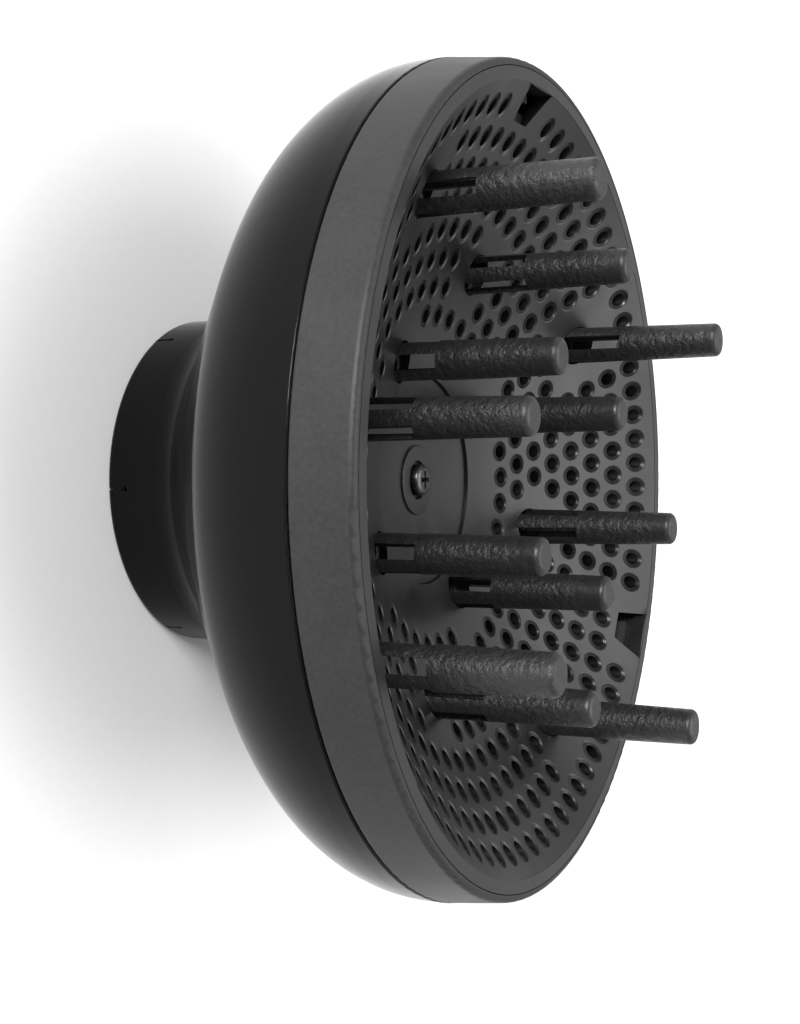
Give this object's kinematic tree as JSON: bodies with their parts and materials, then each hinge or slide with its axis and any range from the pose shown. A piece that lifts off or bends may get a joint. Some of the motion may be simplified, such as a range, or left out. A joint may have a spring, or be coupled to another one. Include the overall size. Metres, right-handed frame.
{
  "type": "hair dryer diffuser",
  "caption": "Bell-shaped hair dryer diffuser with a slit push-on collar, a concave perforated dish and straight hollow fingers that spread the air.",
  "frame": {"origin": "centre of the collar's rear face, on the axis of revolution", "axes": "+Z along the axis, from the dryer's nozzle towards the dish and the finger tips; X and Y square to it"},
  "size_m": [0.1428, 0.1428, 0.0887],
  "materials": {
    "bell_gloss": "moulded, polished",
    "band_satin": "soft-touch lacquer",
    "dish_matte": "moulded, fine texture",
    "finger_grain": "moulded, coarse spark-eroded grain",
    "guide_plain": "moulded",
    "screw_black": "black zinc plated"
  },
  "bodies": {
    "root": {"nozzle_collar": "bell_gloss", "bell_shell": "bell_gloss", "rim_band": "band_satin", "dish_plate": "dish_matte", "hub_disc": "dish_matte", "hub_screw": "screw_black", "air_guide": "guide_plain", "finger_outer_1": "finger_grain", "finger_outer_2": "finger_grain", "finger_outer_3": "finger_grain", "finger_outer_4": "finger_grain", "finger_middle_1": "finger_grain", "finger_middle_2": "finger_grain", "finger_middle_3": "finger_grain", "finger_middle_4": "finger_grain", "finger_inner_1": "finger_grain", "finger_inner_2": "finger_grain", "finger_inner_3": "finger_grain", "finger_inner_4": "finger_grain"}
  },
  "joints": []
}
